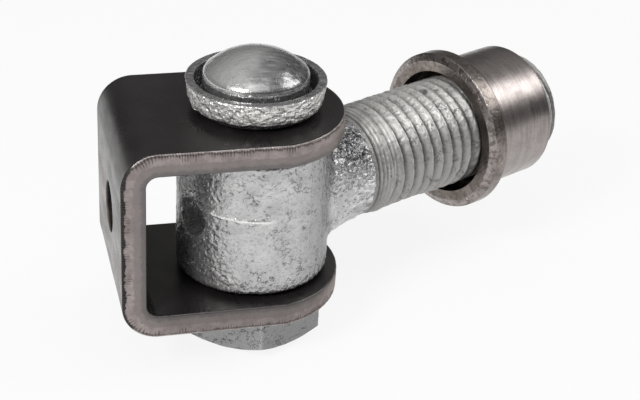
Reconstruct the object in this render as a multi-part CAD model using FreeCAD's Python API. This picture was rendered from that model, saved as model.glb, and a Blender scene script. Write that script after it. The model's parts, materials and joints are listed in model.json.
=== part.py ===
import FreeCAD, Part
import math
import os
from FreeCAD import Vector

# Weld on barrel hinge for a heavy gate, in millimetres.
# The origin is the centre of the web's hole, on the face that is welded to the post.
# +X runs from that face towards the pin, and +Z runs up along the pin.

# Bracket, one folded plate
plate = 6.0
window_height = 38.0
ear_width = 45.5
ear_end_flattening = 0.75
ear_end_shortfall = 0.65
web_gap = 10.65
bend_inner_radius = 3.0
web_hole_diameter = 13.0
sheared_edge_chamfer = 0.4

# Hinge pin, with a low domed head above and a thread below
pin_diameter = 22.0
pin_hole_clearance = 0.5
pin_head_lip = 2.1
pin_head_side = 6.4
pin_dome_rise = 5.5
pin_head_edge_chamfer = 0.6
pin_tail = 1.5
pin_end_chamfer = 1.2

# Cup ring, which the pin's head sits in. It draws in towards its base and stands on a smaller foot.
cup_wall = 1.9
cup_head_gap = 2.55
cup_height = 8.0
cup_floor = 3.1
cup_draw = 0.8
cup_foot_height = 2.0
cup_foot_step = 2.8
cup_rim_chamfer = 0.5

# Nut on the pin, below the lower ear
nut_wall = 5.7
nut_height = 11.2
nut_corner_angle = 267.0
nut_bearing_share = 0.95
nut_thread_clearance = 0.04

# Eye bolt: barrel, neck, thread run-out and shank, forged as one piece
barrel_diameter = 39.2
barrel_end_clearance = 0.8
barrel_edge_chamfer = 1.2
barrel_bore_chamfer = 1.0
barrel_running_clearance = 0.05
rear_hole_diameter = 9.8
rear_hole_countersink = 0.6
rest_angle = 26.0
neck_root_swell = 1.8
neck_middle_swell = 0.6
neck_end_step = 0.4
neck_length = 9.6
shoulder_length = 1.6
runout_depth = 1.6
runout_length = 5.2
thread_diameter = 30.0
thread_length = 61.0
shank_end_chamfer = 1.5

# Sleeve, screwed onto the shank and welded into the gate
sleeve_overhang = 6.3
collar_step = 3.55
collar_thickness = 5.0
collar_chamfer_radial = 2.0
collar_chamfer_axial = 1.0
body_wall = 3.35
body_length = 21.4
body_end_chamfer = 0.8
mouth_gap = 2.0
mouth_depth = 5.0
sleeve_thread_clearance = 0.05

# Levels and places worked out from the sizes above
window_top = window_height / 2
ear_top = window_top + plate
reach = plate + web_gap + barrel_diameter / 2
ear_end_radius = ear_width / 2 + ear_end_flattening
ear_end = reach + ear_width / 2 - ear_end_shortfall
barrel_height = window_height - 2 * barrel_end_clearance
pin_head_diameter = pin_diameter + 2 * pin_head_lip
cup_recess_diameter = pin_head_diameter + 2 * cup_head_gap
cup_outer_diameter = cup_recess_diameter + 2 * cup_wall
nut_flats = pin_diameter + 2 * nut_wall
body_diameter = thread_diameter + 2 * body_wall
collar_diameter = body_diameter + 2 * collar_step
neck_end = barrel_diameter / 2 + neck_length
shoulder = neck_end + shoulder_length
thread_start = shoulder + runout_length
shank_length = thread_start + thread_length
sleeve_length = collar_thickness + body_length
sleeve_distance = shank_length - sleeve_overhang - sleeve_length
pin_axis = Vector(reach, 0, 0)
up = Vector(0, 0, 1)
rest = math.radians(rest_angle)
shank_direction = Vector(math.cos(rest), math.sin(rest), 0)
overshoot = 1.0


def revolved(points):
    """A turned solid from (radius, height) points, about the Z axis."""
    corners = [Vector(radius, 0, height) for radius, height in points]
    face = Part.Face(Part.makePolygon(corners + corners[:1]))
    return face.revolve(Vector(0, 0, 0), up, 360)


def revolved_wire(edges):
    """A turned solid from a closed run of edges in the XZ plane, about the Z axis."""
    return Part.Face(Part.Wire(edges)).revolve(Vector(0, 0, 0), up, 360)


def line(start, end):
    return Part.makeLine(Vector(start[0], 0, start[1]), Vector(end[0], 0, end[1]))


def arc(start, middle, end):
    points = [Vector(x, 0, z) for x, z in (start, middle, end)]
    return Part.Arc(*points).toShape()


def round_corner(centre, radius, from_angle, to_angle):
    """An arc in the XZ plane given by its centre and its angles in degrees."""
    angles = [math.radians(a) for a in (from_angle, (from_angle + to_angle) / 2, to_angle)]
    points = [(centre[0] + radius * math.cos(a), centre[1] + radius * math.sin(a)) for a in angles]
    return arc(*points)


def on_pin(shape):
    """Moves a shape made about the Z axis to the pin's axis."""
    shape.translate(pin_axis)
    return shape


def along_shank(shape):
    """Turns a shape made about the Z axis so that Z becomes the shank's direction at rest."""
    shape.Placement = FreeCAD.Placement(pin_axis, FreeCAD.Rotation(up, shank_direction))
    return shape


def upright_cylinder(diameter, bottom, top):
    return Part.makeCylinder(diameter / 2, top - bottom, pin_axis + Vector(0, 0, bottom), up)


def folded_strip():
    """The U of the plate seen from its side, drawn along X and Z, as wide as the ears."""
    inner = bend_inner_radius
    outer = inner + plate
    nose = reach + ear_width / 2 + overshoot
    centre_x = plate + inner
    centre_z = window_top - inner
    edges = [
        line((nose, ear_top), (centre_x, ear_top)),
        round_corner((centre_x, centre_z), outer, 90, 180),
        line((0, centre_z), (0, -centre_z)),
        round_corner((centre_x, -centre_z), outer, 180, 270),
        line((centre_x, -ear_top), (nose, -ear_top)),
        line((nose, -ear_top), (nose, -window_top)),
        line((nose, -window_top), (centre_x, -window_top)),
        round_corner((centre_x, -centre_z), inner, 270, 180),
        line((plate, -centre_z), (plate, centre_z)),
        round_corner((centre_x, centre_z), inner, 180, 90),
        line((centre_x, window_top), (nose, window_top)),
        line((nose, window_top), (nose, ear_top)),
    ]
    strip = Part.Face(Part.Wire(edges)).extrude(Vector(0, ear_width, 0))
    strip.translate(Vector(0, -ear_width / 2, 0))
    return strip


def ear_outline():
    """The plate's outline seen from above: straight sides and a slightly flattened round end."""
    half = ear_width / 2
    base = -ear_top - overshoot
    meet = ear_end - ear_end_radius + math.sqrt(ear_end_radius ** 2 - half ** 2)
    near, far = Vector(meet, -half, base), Vector(meet, half, base)
    near_back, far_back = Vector(-overshoot, -half, base), Vector(-overshoot, half, base)
    edges = [
        Part.makeLine(near_back, near),
        Part.Arc(near, Vector(ear_end, 0, base), far).toShape(),
        Part.makeLine(far, far_back),
        Part.makeLine(far_back, near_back),
    ]
    return Part.Face(Part.Wire(edges)).extrude(up * (2 * (ear_top + overshoot)))


def is_sheared_edge(edge):
    """True for the edges along the plate's outline, which the shear leaves slightly bevelled."""
    middle = edge.valueAt((edge.FirstParameter + edge.LastParameter) / 2)
    off_side = abs(abs(middle.y) - ear_width / 2) < 0.01
    from_centre = math.hypot(middle.x - ear_end + ear_end_radius, middle.y)
    off_round = middle.x > reach and abs(from_centre - ear_end_radius) < 0.01
    along_plate = abs(edge.tangentAt(edge.FirstParameter).z) < 0.999 or middle.x < 2 * plate
    return (off_side or off_round) and along_plate


def make_bracket():
    plate_form = folded_strip().common(ear_outline()).removeSplitter()
    outline = [edge for edge in plate_form.Edges if is_sheared_edge(edge)]
    plate_form = plate_form.makeChamfer(sheared_edge_chamfer, outline)
    through = ear_top + overshoot
    ear_bore = upright_cylinder(pin_diameter + pin_hole_clearance, -through, through)
    web_hole = Part.makeCylinder(
        web_hole_diameter / 2, plate + 2 * overshoot, Vector(-overshoot, 0, 0), Vector(1, 0, 0)
    )
    return plate_form.cut(ear_bore).cut(web_hole)


def make_hinge_pin():
    radius = pin_diameter / 2
    head = pin_head_diameter / 2
    dome = head - pin_head_edge_chamfer
    seat = ear_top + cup_floor
    rim = seat + pin_head_side
    crown = rim + pin_dome_rise
    tail = -ear_top - nut_height - pin_tail
    sphere = (dome ** 2 + pin_dome_rise ** 2) / (2 * pin_dome_rise)
    half_way = dome / 2
    bulge = crown - sphere + math.sqrt(sphere ** 2 - half_way ** 2)
    edges = [
        line((0, tail), (radius - pin_end_chamfer, tail)),
        line((radius - pin_end_chamfer, tail), (radius, tail + pin_end_chamfer)),
        line((radius, tail + pin_end_chamfer), (radius, seat)),
        line((radius, seat), (head, seat)),
        line((head, seat), (head, rim - pin_head_edge_chamfer)),
        line((head, rim - pin_head_edge_chamfer), (dome, rim)),
        arc((dome, rim), (half_way, bulge), (0, crown)),
        line((0, crown), (0, tail)),
    ]
    return on_pin(revolved_wire(edges))


def make_cup_ring():
    outer = cup_outer_diameter / 2
    recess = cup_recess_diameter / 2
    hole = (pin_diameter + pin_hole_clearance) / 2
    top = ear_top + cup_height
    floor = ear_top + cup_floor
    return on_pin(revolved([
        (hole, ear_top),
        (outer - cup_draw - cup_foot_step, ear_top),
        (outer - cup_draw, ear_top + cup_foot_height),
        (outer, top - cup_rim_chamfer),
        (outer - cup_rim_chamfer, top),
        (recess + cup_rim_chamfer, top),
        (recess, top - cup_rim_chamfer),
        (recess - cup_draw, floor),
        (hole, floor),
    ]))


def make_pin_nut():
    corner = nut_flats / 2 / math.cos(math.pi / 6)
    bearing = nut_flats / 2 * nut_bearing_share
    cone = (corner - bearing) * math.tan(math.pi / 6)
    bottom = -ear_top - nut_height
    bore = pin_diameter / 2 + nut_thread_clearance
    corners = []
    for side in range(7):
        angle = math.radians(nut_corner_angle + 60 * side)
        corners.append(Vector(corner * math.cos(angle), corner * math.sin(angle), bottom))
    hexagon = Part.Face(Part.makePolygon(corners)).extrude(Vector(0, 0, nut_height))
    turned = revolved([
        (bore, bottom),
        (bearing, bottom),
        (corner, bottom + cone),
        (corner, -ear_top - cone),
        (bearing, -ear_top),
        (bore, -ear_top),
    ])
    return on_pin(hexagon.common(turned))


def make_barrel():
    radius = barrel_diameter / 2
    barrel = Part.makeCylinder(radius, barrel_height, Vector(0, 0, -barrel_height / 2))
    ends = [edge for edge in barrel.Edges if edge.Closed]
    return on_pin(barrel.makeChamfer(barrel_edge_chamfer, ends))


def make_shank():
    """Neck, shoulder, run-out, threaded length and end chamfer, turned about the shank's axis."""
    crest = thread_diameter / 2
    root = crest + neck_root_swell
    middle = crest + neck_middle_swell
    end = crest - neck_end_step
    runout = crest - runout_depth
    start = barrel_diameter / 4
    half_way = (start + neck_end) / 2
    edges = [
        line((0, start), (root, start)),
        arc((root, start), (middle, half_way), (end, neck_end)),
        line((end, neck_end), (runout, shoulder)),
        line((runout, shoulder), (crest, thread_start)),
        line((crest, thread_start), (crest, shank_length - shank_end_chamfer)),
        line((crest, shank_length - shank_end_chamfer), (crest - shank_end_chamfer, shank_length)),
        line((crest - shank_end_chamfer, shank_length), (0, shank_length)),
        line((0, shank_length), (0, start)),
    ]
    return along_shank(revolved_wire(edges))


def make_eye_bore():
    """The bore for the pin, opened at both ends by a small chamfer."""
    bore = pin_diameter / 2 + barrel_running_clearance
    half = barrel_height / 2
    mouth = bore + barrel_bore_chamfer
    return on_pin(revolved([
        (0, -half - overshoot),
        (mouth + overshoot, -half - overshoot),
        (bore, -half + barrel_bore_chamfer),
        (bore, half - barrel_bore_chamfer),
        (mouth + overshoot, half + overshoot),
        (0, half + overshoot),
    ]))


def make_rear_hole():
    """The hole from the barrel's side into its bore, opposite the shank, with a small countersink."""
    radius = rear_hole_diameter / 2
    surface = math.sqrt((barrel_diameter / 2) ** 2 - radius ** 2)
    wide = radius + rear_hole_countersink + overshoot
    return along_shank(revolved([
        (0, 0),
        (radius, 0),
        (radius, -surface + rear_hole_countersink),
        (wide, -surface - overshoot),
        (0, -surface - overshoot),
    ]))


def make_eye_bolt():
    """The neck is no higher than the barrel where it turns between the ears."""
    shank = make_shank()
    half = barrel_height / 2
    between_ears = shank.common(upright_cylinder(ear_width, -half, half))
    beyond_ears = shank.cut(upright_cylinder(ear_width, -shank_length, shank_length))
    forging = make_barrel().fuse([between_ears, beyond_ears]).removeSplitter()
    return forging.cut(make_eye_bore()).cut(make_rear_hole())


def make_weld_sleeve():
    thread = thread_diameter / 2 + sleeve_thread_clearance
    mouth = thread_diameter / 2 + mouth_gap
    collar = collar_diameter / 2
    body = body_diameter / 2
    face = sleeve_distance
    back = face + collar_thickness
    end = back + body_length
    cone_end = face + mouth_depth + mouth - thread
    return along_shank(revolved([
        (mouth, face),
        (collar - collar_chamfer_radial, face),
        (collar, face + collar_chamfer_axial),
        (collar, back),
        (body, back),
        (body, end - body_end_chamfer),
        (body - body_end_chamfer, end),
        (thread, end),
        (thread, cone_end),
        (mouth, face + mouth_depth),
    ]))


pieces = {
    "bracket": make_bracket,
    "hinge_pin": make_hinge_pin,
    "cup_ring": make_cup_ring,
    "pin_nut": make_pin_nut,
    "eye_bolt": make_eye_bolt,
    "weld_sleeve": make_weld_sleeve,
}

os.makedirs("parts", exist_ok=True)
for name, make_piece in pieces.items():
    solid = make_piece().Solids[0]
    solid.exportStep(f"parts/{name}.step")
    print(name, "valid" if solid.isValid() else "not valid", round(solid.Volume, 1))
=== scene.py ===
import json
import math

import bpy
import numpy as np
from mathutils import Euler, Matrix, Vector, geometry


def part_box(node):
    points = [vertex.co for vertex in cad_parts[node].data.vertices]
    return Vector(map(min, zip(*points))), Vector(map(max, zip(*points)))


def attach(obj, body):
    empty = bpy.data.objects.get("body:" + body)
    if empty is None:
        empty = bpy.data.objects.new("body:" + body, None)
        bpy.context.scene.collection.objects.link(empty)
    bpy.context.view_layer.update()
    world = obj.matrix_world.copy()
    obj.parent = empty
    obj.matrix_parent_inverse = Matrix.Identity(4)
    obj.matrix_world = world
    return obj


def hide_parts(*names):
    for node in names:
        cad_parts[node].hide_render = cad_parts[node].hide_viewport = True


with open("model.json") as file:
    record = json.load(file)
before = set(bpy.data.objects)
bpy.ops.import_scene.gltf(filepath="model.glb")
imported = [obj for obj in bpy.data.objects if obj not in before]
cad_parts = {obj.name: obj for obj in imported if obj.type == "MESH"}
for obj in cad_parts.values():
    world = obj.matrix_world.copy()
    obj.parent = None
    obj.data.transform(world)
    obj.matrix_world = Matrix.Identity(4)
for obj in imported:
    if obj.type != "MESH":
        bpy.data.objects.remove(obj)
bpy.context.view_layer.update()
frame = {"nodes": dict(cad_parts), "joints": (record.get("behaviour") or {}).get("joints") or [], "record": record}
mm = 0.001

# Sizes and places read from the frame, in metres
joints = {joint["name"]: joint for joint in frame["joints"]}
mounts = {mount["name"]: mount for mount in frame["record"]["mounts"]}
reach = joints["pin_swing"]["pos_m"][0]
pin_axis = Vector((reach, 0, 0))
shank_direction = Vector(joints["sleeve_travel"]["axis"]).normalized()
plate = mounts["web_hole"]["dims"]["length_mm"] * mm
web_hole_radius = mounts["web_hole"]["dims"]["r_mm"] * mm
ear_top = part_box("bracket")[1].z
half_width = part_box("bracket")[1].y
ear_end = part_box("bracket")[1].x
head_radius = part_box("hinge_pin")[1].x - reach
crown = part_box("hinge_pin")[1].z
pin_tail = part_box("hinge_pin")[0].z
cup_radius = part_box("cup_ring")[1].x - reach
cup_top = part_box("cup_ring")[1].z
nut_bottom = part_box("pin_nut")[0].z
barrel_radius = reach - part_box("eye_bolt")[0].x
barrel_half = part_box("eye_bolt")[1].z
body_radius = mounts["sleeve_body"]["dims"]["r_mm"] * mm
collar_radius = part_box("weld_sleeve")[1].z


def along_shank(node):
    """The nearest and farthest distance of a CAD node from the pin's axis, along the shank."""
    places = [(v.co - pin_axis).dot(shank_direction) for v in frame["nodes"][node].data.vertices]
    return min(places), max(places)


shank_length = along_shank("eye_bolt")[1]
sleeve_face, sleeve_end = along_shank("weld_sleeve")

# Sizes the frame doesn't hold. Distances along the shank are from the pin's axis.
bend_inner_radius = 3 * mm
ear_end_radius = half_width + 0.75 * mm
pin_radius = 11 * mm
pin_end_chamfer = 1.2 * mm
ear_hole_radius = 11.25 * mm
head_seat = ear_top + 3.1 * mm
head_rim = head_seat + 6.4 * mm
head_edge_radius = 1.3 * mm
cup_recess_radius = 15.1 * mm
cup_draw = 0.8 * mm
cup_foot_height = 2 * mm
cup_foot_radius = 13.95 * mm
nut_flats_radius = 16.7 * mm
nut_bearing_share = 0.95
nut_corner_angle = math.radians(267)
nut_bore_radius = pin_radius + 0.04 * mm
bore_radius = 11.05 * mm
rear_hole_radius = 4.9 * mm
thread_radius = 15 * mm
thread_pitch = 3.5 * mm
thread_depth = 1.7 * mm
shallow_crest = 0.9 * mm
runout_depth = 0.9 * mm
shank_end_chamfer = 1.5 * mm
neck_root_radius = 16.8 * mm
neck_middle_radius = 15.6 * mm
neck_end_radius = 14.6 * mm
neck_end = 29.2 * mm
shoulder = 30.8 * mm
thread_start = 36 * mm
collar_thickness = 5 * mm
collar_chamfer = 2 * mm
body_end_chamfer = 0.8 * mm
mouth_radius = 17 * mm
mouth_depth = 5 * mm
sleeve_bore_radius = 15.05 * mm

# The mottled patch on the neck, in the shank's axes
patch_centre = np.array([-10.5, 12.3, 23.6]) * mm
patch_size = np.array([5.4, 4.7, 4.6]) * mm

# Each turned piece is made about its own Z axis and then placed in the row frame
shank_side = Vector((0, 0, 1)).cross(shank_direction)
on_pin = Matrix.Translation(pin_axis)
on_shank = on_pin @ Matrix((shank_side, (0, 0, 1), shank_direction)).transposed().to_4x4()


# Curves and noise for relief

def ramp(value, start, end):
    """0 at start and 1 at end, straight in between. It falls where end is below start."""
    return np.clip((value - start) / (end - start), 0, 1)


def bell(value, middle, width):
    """1 at the middle, falling away over about width to both sides."""
    return np.exp(-((value - middle) / width) ** 2)


def lattice(cells, seed):
    """A fixed random number from -1 to 1 for each whole-numbered corner."""
    x, y, z = (cells[:, i].astype(np.uint32) for i in range(3))
    mixed = x * np.uint32(374761393) + y * np.uint32(668265263) + z * np.uint32(2246822519)
    mixed = mixed + np.uint32((seed * 974634777) % 2 ** 32)
    mixed = (mixed ^ (mixed >> np.uint32(13))) * np.uint32(1274126177)
    mixed = mixed ^ (mixed >> np.uint32(16))
    return (mixed & np.uint32(65535)) / 32767.5 - 1


def noise(points, size, seed):
    """Smooth noise from -1 to 1 at each point, with lumps about size metres across."""
    places = points / size + 1000
    base = np.floor(places)
    part = places - base
    part = part * part * (3 - 2 * part)
    base = base.astype(np.int64)
    total = np.zeros(len(points))
    for corner in np.ndindex(2, 2, 2):
        share = np.ones(len(points))
        for i in range(3):
            share = share * (part[:, i] if corner[i] else 1 - part[:, i])
        total += share * lattice(base + corner, seed)
    return total


def hollows(points, size, seed):
    """Smooth noise from 0 to 1, as a depth below the highest lumps."""
    return 0.5 - 0.5 * noise(points, size, seed)


def pits(points, size, seed, share):
    """Small round dents from 0 to 1, one in each cell of size metres that a draw picks."""
    places = points / size + 1000
    base = np.floor(places).astype(np.int64)
    deepest = np.zeros(len(points))
    for corner in np.ndindex(3, 3, 3):
        cell = base + corner - 1
        centre = cell + 0.5 + 0.35 * np.stack([lattice(cell, seed + i) for i in range(3)], -1)
        width = 0.22 + 0.16 * lattice(cell, seed + 3)
        away = np.linalg.norm(places - centre, axis=1) / width
        dent = np.clip(1 - away * away, 0, 1) * (lattice(cell, seed + 4) < 2 * share - 1)
        deepest = np.maximum(deepest, dent)
    return deepest


# Meshes

def link_object(name, data):
    holder = bpy.data.objects.new(name, data)
    bpy.context.scene.collection.objects.link(holder)
    return holder


def make_piece(name, vertices, faces, placement, body, nodes, marks):
    """A smooth-shaded mesh that rides on a body, stands for CAD nodes and carries shader marks."""
    place = np.array(placement)
    vertices = np.asarray(vertices) @ place[:3, :3].T + place[:3, 3]
    mesh = bpy.data.meshes.new(name)
    mesh.from_pydata(vertices.tolist(), [], faces)
    mesh.validate()
    mesh.shade_smooth()
    for label, values in marks.items():
        attribute = mesh.attributes.new(label, "FLOAT", "POINT")
        attribute.data.foreach_set("value", np.asarray(values, np.float32))
    piece = link_object(name, mesh)
    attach(piece, body)
    if nodes:
        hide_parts(*nodes)
    return piece


def ring_faces(rows, around, closed, start=0):
    """Quads between rows of points that each run once round."""
    row = np.arange(rows if closed else rows - 1)[:, None]
    column = np.arange(around)[None, :]
    next_row, next_column = (row + 1) % rows, (column + 1) % around
    quads = np.stack([
        row * around + column,
        row * around + next_column,
        next_row * around + next_column,
        next_row * around + column,
    ], -1).reshape(-1, 4)
    return (quads + start).tolist()


def fill_ends(vertices, faces, rows, around):
    """Closes the first and the last row with a fan of triangles."""
    grid = vertices[:rows * around].reshape(rows, around, 3)
    centres = np.array([grid[0].mean(0), grid[-1].mean(0)])
    first, last, top = rows * around, rows * around + 1, (rows - 1) * around
    for i in range(around):
        j = (i + 1) % around
        faces.append([first, j, i])
        faces.append([last, top + i, top + j])
    return np.vstack([vertices, centres])


def rounded(corners, step, closed=True):
    """A fine outline through (across, along, corner radius) points, about step apart."""
    points = [np.array(corner[:2], float) for corner in corners]
    runs = []
    for i, corner in enumerate(corners):
        here, radius = points[i], corner[2]
        if radius == 0 or (not closed and i in (0, len(corners) - 1)):
            runs.append([here])
            continue
        before, after = points[i - 1] - here, points[(i + 1) % len(points)] - here
        before, after = before / np.linalg.norm(before), after / np.linalg.norm(after)
        half = math.acos(max(-1, min(1, before @ after))) / 2
        middle = (before + after) / np.linalg.norm(before + after)
        centre = here + middle * radius / math.sin(half)
        start = here + before * radius / math.tan(half) - centre
        end = here + after * radius / math.tan(half) - centre
        sweep = math.pi - 2 * half
        pieces = max(3, math.ceil(2 * sweep * radius / step))
        shares = np.linspace(0, 1, pieces + 1)[:, None]
        arc = (np.sin((1 - shares) * sweep) * start + np.sin(shares * sweep) * end) / math.sin(sweep)
        runs.append(list(centre + arc))
    outline = []
    for i, run in enumerate(runs):
        outline += run
        if closed or i < len(runs) - 1:
            start, end = run[-1], runs[(i + 1) % len(runs)][0]
            pieces = max(1, round(np.linalg.norm(end - start) / step))
            outline += [start + (end - start) * k / pieces for k in range(1, pieces)]
    return np.array(outline)


def about_z(radius, angle, height):
    return np.stack([radius * np.cos(angle), radius * np.sin(angle), height], -1)


def full_circle(sides):
    return np.linspace(0, 2 * math.pi, sides, endpoint=False)


def turned(outline, around, relief, closed=True, radius_at=None):
    """Rows of a turned piece about Z. The relief of each point goes inwards, off the outline."""
    if closed:
        slope = np.roll(outline, -1, 0) - np.roll(outline, 1, 0)
    else:
        slope = np.gradient(outline, axis=0)
    slope = slope / np.maximum(np.linalg.norm(slope, axis=1), 1e-12)[:, None]
    angles = full_circle(around)
    radius = np.repeat(outline[:, :1], around, 1)
    height = np.repeat(outline[:, 1:], around, 1)
    if radius_at is not None:
        radius = radius_at(radius, angles)
    depth = relief(about_z(radius, angles, height).reshape(-1, 3)).reshape(radius.shape)
    radius = radius - slope[:, 1:] * depth
    height = height + slope[:, :1] * depth
    vertices = about_z(radius, angles, height).reshape(-1, 3)
    faces = ring_faces(len(outline), around, closed)
    if not closed:
        vertices = fill_ends(vertices, faces, len(outline), around)
    return vertices, faces


def surface_net(field, low, high, step):
    """A closed mesh of quads where the field crosses zero, drawn onto that surface."""
    low, high = np.array(low, float), np.array(high, float)
    counts = np.ceil((high - low) / step).astype(int) + 1
    grid = low + step * np.indices(counts).reshape(3, -1).T
    inside = field(grid).reshape(counts) < 0
    cells = tuple(counts - 1)
    filled = np.zeros(cells, np.int8)
    for corner in np.ndindex(2, 2, 2):
        filled += inside[tuple(slice(c, c + n) for c, n in zip(corner, cells))]
    mixed = (filled > 0) & (filled < 8)
    index = np.full(cells, -1)
    index[mixed] = np.arange(mixed.sum())
    vertices = low + step * (np.argwhere(mixed) + 0.5)
    start = vertices.copy()
    probes = 0.2 * step * np.eye(3)
    farthest = 0.7 * step
    for _ in range(4):
        here = field(vertices)
        rise = [field(vertices + probe) - field(vertices - probe) for probe in probes]
        slope = np.stack(rise, -1) / (0.4 * step)
        square = np.maximum((slope ** 2).sum(1), 0.05)
        vertices = vertices - 0.8 * (here / square)[:, None] * slope
        vertices = start + np.clip(vertices - start, -farthest, farthest)
    faces = []
    for axis in range(3):
        u, v = (axis + 1) % 3, (axis + 2) % 3
        near = inside.take(range(counts[axis] - 1), axis)
        far = inside.take(range(1, counts[axis]), axis)
        edges = np.argwhere(near != far)
        edges = edges[(edges[:, u] > 0) & (edges[:, v] > 0)]
        edges = edges[(edges[:, u] < counts[u] - 1) & (edges[:, v] < counts[v] - 1)]
        step_u, step_v = np.eye(3, dtype=int)[u], np.eye(3, dtype=int)[v]
        around = [edges, edges - step_u, edges - step_u - step_v, edges - step_v]
        quads = np.stack([index[tuple(c.T)] for c in around], -1)
        outward = near[tuple(edges.T)]
        quads[~outward] = quads[~outward][:, ::-1]
        faces.append(quads)
    return vertices, np.vstack(faces).tolist()


# Bracket, one plate that is drawn flat and then folded

bend_outer_radius = bend_inner_radius + plate
bend_middle_radius = (bend_inner_radius + bend_outer_radius) / 2
web_half = ear_top - bend_outer_radius
bend_length = bend_middle_radius * math.pi / 2
flat_half = web_half + bend_length + reach - bend_outer_radius
end_centre = flat_half + ear_end - ear_end_radius - reach
end_meet = end_centre + math.sqrt(ear_end_radius ** 2 - half_width ** 2)
plate_holes = [(0, web_hole_radius), (flat_half, ear_hole_radius), (-flat_half, ear_hole_radius)]
edge_margin = 0.9 * mm
hole_margin = 0.8 * mm
face_step = 0.8 * mm


def fold(along, across, depth):
    """The place in the row frame of a point of the flat plate.

    Along is measured from the web's middle, and depth runs from the outer face to the inner one.
    """
    beyond = np.abs(along) - web_half
    angle = np.clip(beyond, 0, bend_length) / bend_middle_radius
    radius = bend_outer_radius - depth
    x = np.where(beyond < 0, depth, bend_outer_radius - radius * np.cos(angle))
    z = np.where(beyond < 0, np.abs(along), web_half + radius * np.sin(angle))
    x = x + np.maximum(beyond - bend_length, 0)
    return np.stack([x, across, np.sign(along) * z], -1)


def plate_outline(step):
    """The flat plate's outline, run once round: places and outward directions."""
    straight = round(2 * end_meet / step)
    half_turn = math.asin(half_width / ear_end_radius)
    round_end = round(2 * half_turn * ear_end_radius / step)
    along = np.linspace(-end_meet, end_meet, straight, endpoint=False)
    turn = np.linspace(-half_turn, half_turn, round_end, endpoint=False)
    side = np.stack([along, np.full_like(along, -half_width)], -1)
    outward = np.stack([np.cos(turn), np.sin(turn)], -1)
    nose = np.array([end_centre, 0]) + ear_end_radius * outward
    side_outward = np.tile([0.0, -1.0], (straight, 1))
    places = np.concatenate([side, nose, -side, -nose])
    return places, np.concatenate([side_outward, outward, -side_outward, -outward])


def room_inside(along, across):
    """The distance from a place on the flat plate to its outline."""
    beyond = np.maximum(np.abs(along) - end_centre, 0)
    return np.minimum(half_width - np.abs(across), ear_end_radius - np.hypot(beyond, across))


def sheared_relief(run, depth):
    """How far the sheared edge lies inside the plate's outline, and how dark it is painted there, as painted
    shade.
    """
    share = depth / plate
    none = np.zeros_like(run)
    line = np.stack([run, none, none], -1)
    across = np.stack([run, depth, none], -1)
    border = 0.44 + 0.06 * noise(line, 3 * mm, 11) + 0.05 * noise(line, 0.8 * mm, 12)
    torn = 1 / (1 + np.exp((share - border) / 0.04))
    phase = run / (0.64 * mm) + 0.3 * noise(line, 1.9 * mm, 13)
    groove_end = 0.24 + 0.16 * noise(line, 1.1 * mm, 14) + 0.1 * noise(line, 5 * mm, 20)
    groove = (0.5 - 0.5 * np.cos(2 * math.pi * phase)) ** 1.3
    groove = groove * ramp(share, groove_end + 0.07, groove_end - 0.07)
    grain = noise(across, 0.35 * mm, 15)
    blotch = noise(across, 1.4 * mm, 18)
    lip = 0.1 + 0.035 * noise(line, 0.45 * mm, 16) + 0.03 * noise(line, 2.2 * mm, 17)
    gap = bell(share, lip, 0.035)
    nicks = np.clip(noise(line, 1.6 * mm, 19) - 0.6, 0, 1) * bell(share, 1, 0.08)
    torn_depth = 0.05 + 0.3 * np.clip(share - border, 0, 1)
    relief = 0.04 + 0.2 * groove + torn_depth * torn + 0.025 * grain + 0.14 * gap
    relief = np.maximum(relief + 0.05 * blotch * (1 - torn) + 0.5 * nicks, 0.01)
    seam = bell(share, border, 0.03)
    # Painted shade in the shear grooves and in the gap under the lip, and a darker line along the border of the
    # torn zone
    dark = 0.75 * groove + 0.8 * gap + 0.35 * seam * (grain > -0.2)
    return relief * mm, np.clip(dark, 0, 1)


def painted_web_reflection(places):
    """How much lighter the web's outer face is painted, as a painted reflection that grows downwards. The bends,
    and the web just below them, are black.
    """
    x, y, z = places.T
    black = web_half - 3.5 * mm - 0.15 * (half_width - y)
    not_edge = half_width - np.abs(y) > 0.7 * mm
    return ramp(x, 0.5 * mm, 0) * ramp(z, black, black - 9 * mm) * not_edge


def edge_band():
    """The plate's sheared edge: flat places in rows, their depths and marks."""
    outline_step = 0.17 * mm
    arris = 0.6 * mm
    section = rounded([
        (edge_margin, 0, 0), (0, 0, arris), (0, plate, arris), (edge_margin, plate, 0),
    ], 0.3 * mm, closed=False)
    places, outward = plate_outline(outline_step)
    rows, around = len(section), len(places)
    inset, depth = (np.repeat(column, around) for column in section.T)
    run = np.tile(np.arange(around) * outline_step, rows)
    relief, dark = sheared_relief(run, depth)
    on_edge = ramp(inset, arris, 0)
    inset = inset + relief * on_edge
    flat = np.tile(places, (rows, 1)) - np.tile(outward, (rows, 1)) * inset[:, None]
    along = flat[:, 0]
    share = depth / plate
    line = np.column_stack([run, np.zeros((len(run), 2))])
    on_web = ramp(np.abs(along), web_half + 0.6 * bend_length, web_half)
    on_lower_ear = ramp(-along, web_half + 0.3 * bend_length, web_half + 1.3 * bend_length)
    black = 0.15 + 0.05 * noise(line, 0.9 * mm, 22) + 0.03 * noise(line, 2.7 * mm, 23)
    cut = np.clip(1.6 * on_edge, 0, 1) * (1 - on_web * ramp(share, black, black - 0.06))
    # Painted shade on the sheared edge, a little less on the web near its outer face and stronger along the lower
    # ear's edge; shine is a painted highlight along the outer arris.
    dark = dark * on_edge * np.where(share < 0.3, 1 - 0.4 * on_web, 1)
    shine = np.clip(2 * on_edge, 0, 1) * (1 - on_web) * bell(share, 0.02, 0.045)
    shine = shine * np.clip(0.8 + 0.5 * noise(line, 2.5 * mm, 24), 0, 1)
    marks = {"cut": cut, "dark": np.maximum(dark, 0.42 * on_lower_ear), "shine": shine}
    return flat.reshape(rows, around, 2), depth, marks


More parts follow.
